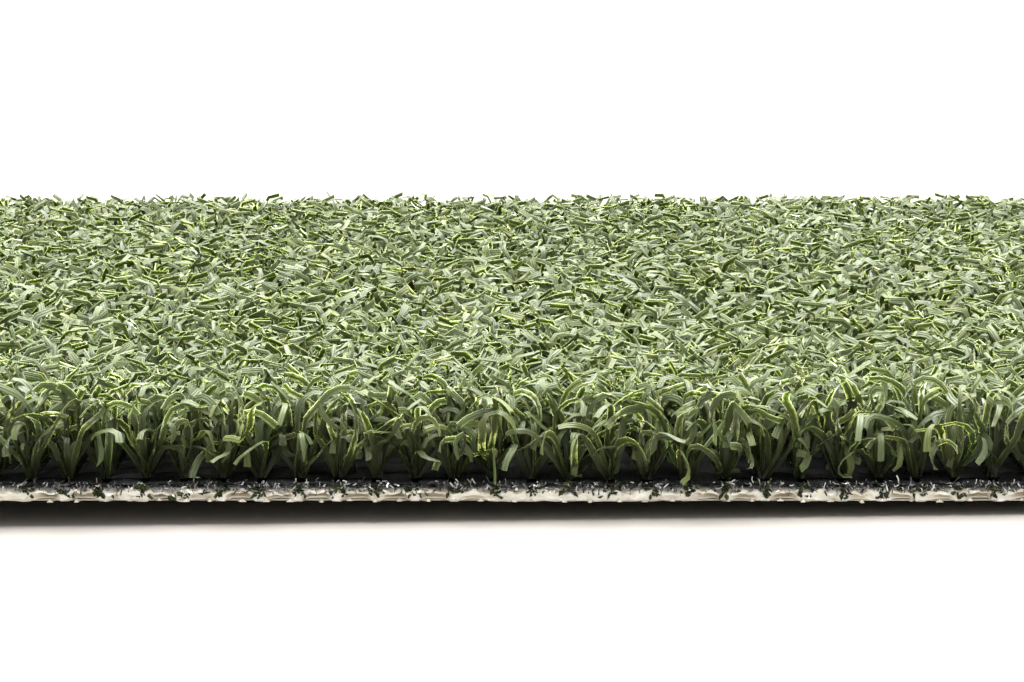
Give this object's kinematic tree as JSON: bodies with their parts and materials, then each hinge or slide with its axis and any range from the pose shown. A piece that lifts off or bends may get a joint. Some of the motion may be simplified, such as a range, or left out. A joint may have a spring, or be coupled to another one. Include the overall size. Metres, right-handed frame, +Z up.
{
  "type": "golf hitting mat",
  "caption": "Flat rectangular golf hitting mat of curly cut-pile turf, tufted in rows through a woven cloth and locked by a latex coat on an open scrim.",
  "frame": {"origin": "middle of the mat's underside, where it rests on the ground", "axes": "+X along the long front edge to the right, +Y to the back edge along the rows of yarn, +Z up out of the pile"},
  "size_m": [0.6096, 0.3048, 0.0147],
  "materials": {
    "pile_yarn": "curled flat ribbons of green polyethylene yarn with a satin sheen",
    "black_cloth": "woven black polypropylene tapes, frayed at the cut edge",
    "latex": "matte cream filled latex, rough where it is cut",
    "scrim": "open leno-woven natural polypropylene cloth"
  },
  "bodies": {
    "root": {"secondary_scrim": "scrim", "latex_coat": "latex", "primary_cloth_weft": "black_cloth", "primary_cloth_warp": "black_cloth", "pile_rows_01": "pile_yarn", "pile_rows_02": "pile_yarn", "pile_rows_03": "pile_yarn", "pile_rows_04": "pile_yarn", "pile_rows_05": "pile_yarn", "pile_rows_06": "pile_yarn", "pile_rows_07": "pile_yarn", "pile_rows_08": "pile_yarn", "pile_rows_09": "pile_yarn", "pile_rows_10": "pile_yarn", "pile_rows_11": "pile_yarn", "pile_rows_12": "pile_yarn", "pile_rows_13": "pile_yarn", "pile_rows_14": "pile_yarn", "pile_rows_15": "pile_yarn", "pile_rows_16": "pile_yarn", "pile_rows_17": "pile_yarn", "pile_rows_18": "pile_yarn", "pile_rows_19": "pile_yarn", "pile_rows_20": "pile_yarn", "pile_rows_21": "pile_yarn", "pile_rows_22": "pile_yarn", "pile_rows_23": "pile_yarn", "pile_rows_24": "pile_yarn", "pile_rows_25": "pile_yarn", "pile_rows_26": "pile_yarn", "pile_rows_27": "pile_yarn", "pile_rows_28": "pile_yarn", "pile_rows_29": "pile_yarn", "pile_rows_30": "pile_yarn", "pile_rows_31": "pile_yarn", "pile_rows_32": "pile_yarn"}
  },
  "joints": []
}
